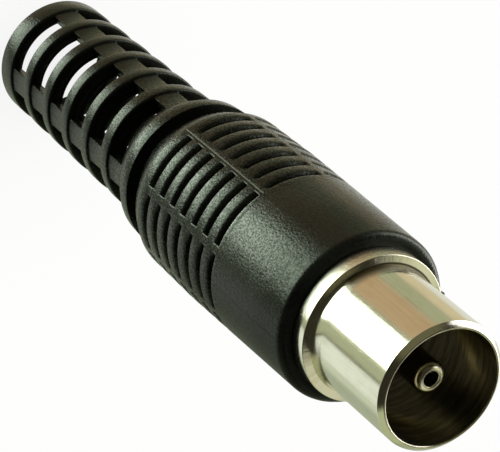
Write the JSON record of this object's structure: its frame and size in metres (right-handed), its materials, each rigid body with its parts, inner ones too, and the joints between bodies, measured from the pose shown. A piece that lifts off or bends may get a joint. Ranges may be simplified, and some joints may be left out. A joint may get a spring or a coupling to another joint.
{
  "type": "coaxial plug",
  "caption": "Straight coaxial aerial plug with a metal barrel, hollow centre pin and black moulded cover that has a ring grip and a slotted bend relief.",
  "frame": {"origin": "centre of the cable end face, on the plug's axis", "axes": "+Z along the axis towards the contact end; +X and +Y through the middles of the bend relief's slots"},
  "size_m": [0.0132, 0.0132, 0.0558],
  "materials": {
    "cover_plastic": "black moulded plastic, satin with a fine eroded grain",
    "contact_nickel": "turned brass with bright nickel plating",
    "insulator_plastic": "black moulded plastic",
    "pin_nickel": "turned brass with bright nickel plating",
    "clamp_tin": "tinned sheet steel"
  },
  "bodies": {
    "cover": {"cover": "cover_plastic"},
    "contacts": {"outer_contact": "contact_nickel", "insulator": "insulator_plastic", "centre_pin": "pin_nickel", "cable_clamp": "clamp_tin"}
  },
  "joints": [
    {"name": "contacts_slide", "type": "slide", "parent": "cover", "child": "contacts", "axis": [0, 0, 1], "range_m": [0, 0.02]}
  ]
}
